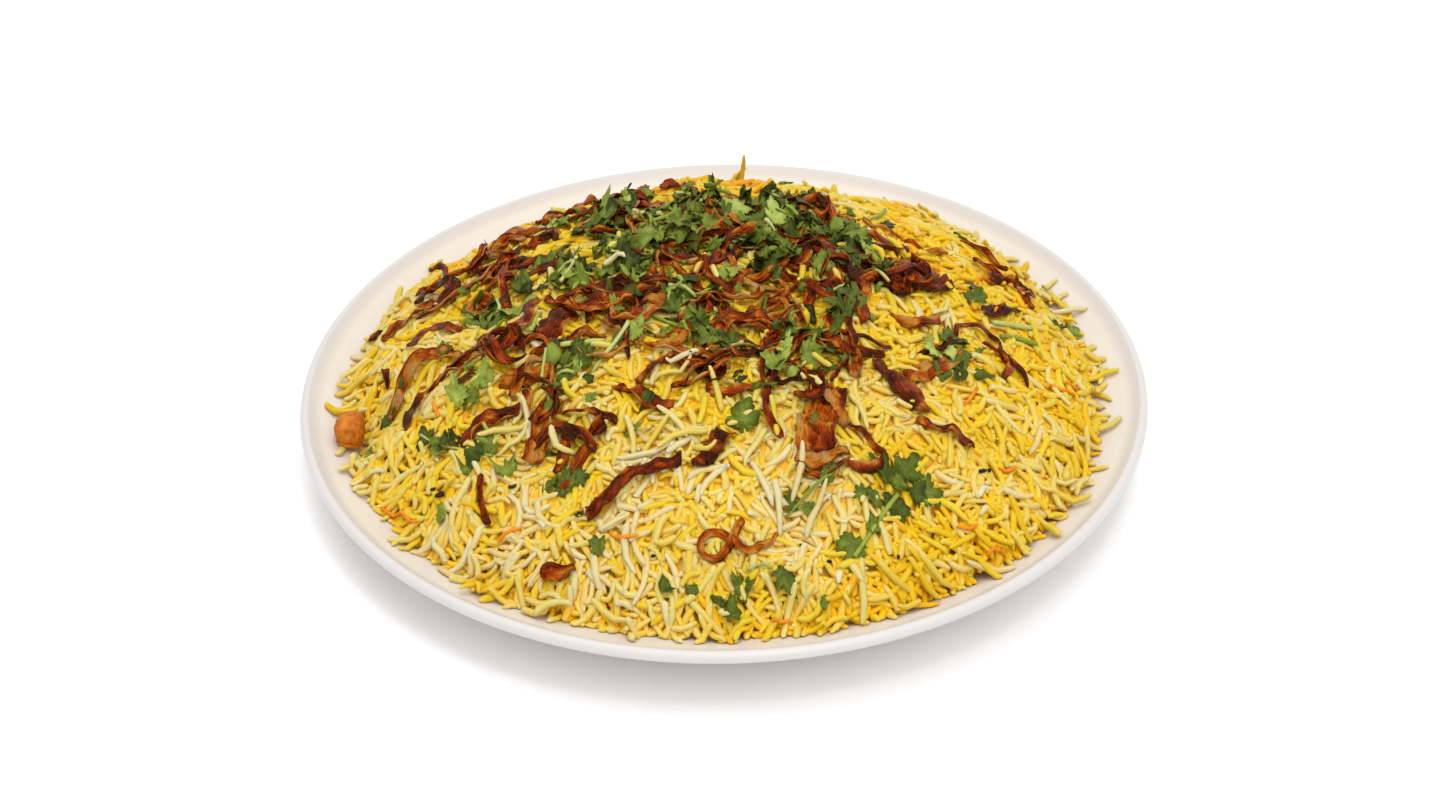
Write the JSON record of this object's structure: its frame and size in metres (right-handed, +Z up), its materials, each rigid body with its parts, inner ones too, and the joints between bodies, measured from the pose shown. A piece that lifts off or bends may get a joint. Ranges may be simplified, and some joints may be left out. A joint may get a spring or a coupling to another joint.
{
  "type": "plate of biryani",
  "caption": "Round pale coupe plate heaped with yellow and ivory long-grain rice, topped with strips of fried onion, chopped green herbs and a fried nut.",
  "frame": {"origin": "on the table under the middle of the plate's flat base", "axes": "+Z up, out of the plate; -Y towards the side the dish is seen from"},
  "size_m": [0.26, 0.26, 0.0616],
  "materials": {
    "plate": "smooth white glaze",
    "rice": "moist cooked rice, satin",
    "onion": "fried, slightly oily",
    "cashew": "fried, slightly oily"
  },
  "bodies": {
    "root": {"plate": "plate", "rice_heap": "rice", "cashew": "cashew", "onion_01": "onion", "onion_02": "onion", "onion_03": "onion", "onion_04": "onion", "onion_05": "onion", "onion_06": "onion", "onion_07": "onion", "onion_08": "onion", "onion_09": "onion", "onion_10": "onion", "onion_11": "onion", "onion_12": "onion", "onion_13": "onion", "onion_14": "onion", "onion_15": "onion", "onion_16": "onion", "onion_17": "onion", "onion_18": "onion", "onion_19": "onion", "onion_20": "onion", "onion_21": "onion", "onion_22": "onion", "onion_23": "onion", "onion_24": "onion", "onion_25": "onion", "onion_26": "onion", "onion_27": "onion", "onion_28": "onion", "onion_29": "onion", "onion_30": "onion", "onion_31": "onion", "onion_32": "onion", "onion_33": "onion", "onion_34": "onion", "onion_35": "onion", "onion_36": "onion", "onion_37": "onion", "onion_38": "onion", "onion_39": "onion", "onion_40": "onion", "onion_41": "onion", "onion_42": "onion", "onion_43": "onion", "onion_44": "onion", "onion_45": "onion", "onion_46": "onion", "onion_47": "onion", "onion_48": "onion", "onion_49": "onion", "onion_50": "onion", "onion_51": "onion", "onion_52": "onion", "onion_53": "onion", "onion_54": "onion", "onion_55": "onion", "onion_56": "onion"}
  },
  "joints": []
}
